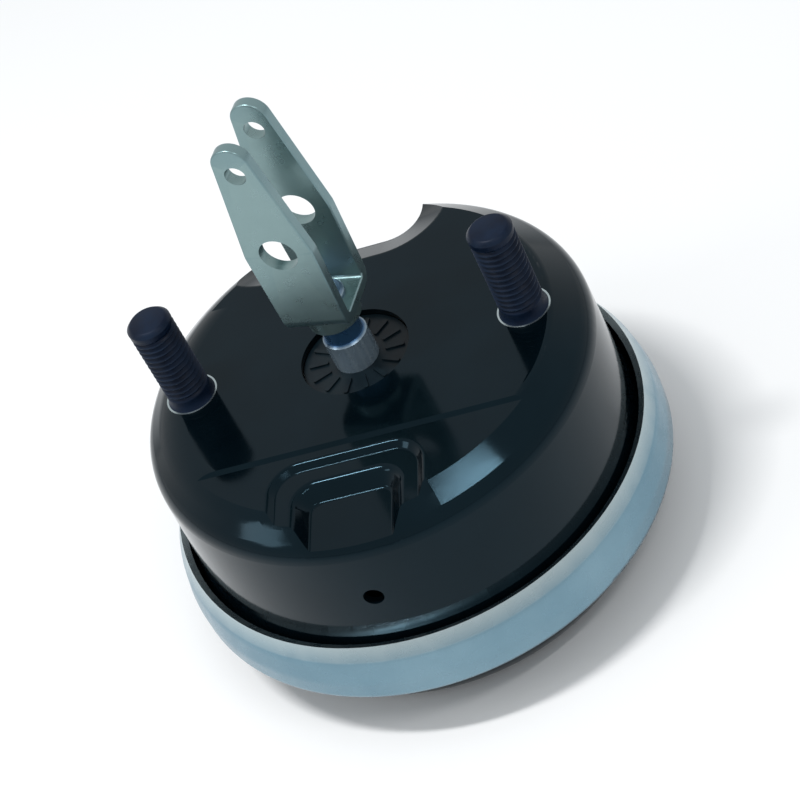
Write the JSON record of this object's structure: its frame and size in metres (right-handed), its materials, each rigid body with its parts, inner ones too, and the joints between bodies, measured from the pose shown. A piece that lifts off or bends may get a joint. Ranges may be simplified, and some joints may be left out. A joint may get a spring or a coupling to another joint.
{
  "type": "air brake chamber",
  "caption": "Round pressed-steel diaphragm brake chamber with mounting studs, clamp ring and a sprung push rod ending in a two-hole clevis.",
  "frame": {"origin": "centre of the flat mounting pad, midway between the two mounting studs, on the pad's surface", "axes": "+Z along the push rod toward the clevis; +X toward the stud beside the firmly coined shoulder; +Y toward the deep scallop"},
  "size_m": [0.1838, 0.1838, 0.2025],
  "materials": {
    "black_paint": "gloss black enamel",
    "zinc_plate": "bright zinc plate with a faint spangle",
    "stud_oxide": "blue-black oxide",
    "bare_steel": "plain pressed steel",
    "spring_steel": "phosphate-coated spring steel",
    "black_plastic": "moulded black nylon",
    "rubber": "fabric-reinforced rubber"
  },
  "bodies": {
    "chamber": {"front_housing": "black_paint", "rear_housing": "black_paint", "clamp_ring": "zinc_plate", "diaphragm": "rubber", "stud_plate": "bare_steel", "mounting_studs": "stud_oxide", "stud_collars": "bare_steel", "seal_disc": "black_plastic", "guide_bush": "black_plastic", "guide_retainer": "bare_steel", "inlet_boss": "black_paint", "spare_boss": "black_paint", "port_plug": "zinc_plate"},
    "spring_pack": {"spring_seat": "bare_steel", "return_spring": "spring_steel"},
    "rod_assembly": {"push_plate": "bare_steel", "spring_locator": "bare_steel", "push_rod": "zinc_plate", "rod_collar": "zinc_plate", "clevis": "zinc_plate"}
  },
  "joints": [
    {"name": "rod_turn", "type": "hinge", "parent": "chamber", "child": "spring_pack", "pos_m": [0, 0, 0], "axis": [0, 0, 1], "continuous": true},
    {"name": "rod_stroke", "type": "slide", "parent": "spring_pack", "child": "rod_assembly", "axis": [0, 0, 1], "range_m": [0, 0.057], "stiffness_N_per_m": 3000, "springref_m": -0.045, "deforming": ["return_spring"]}
  ]
}
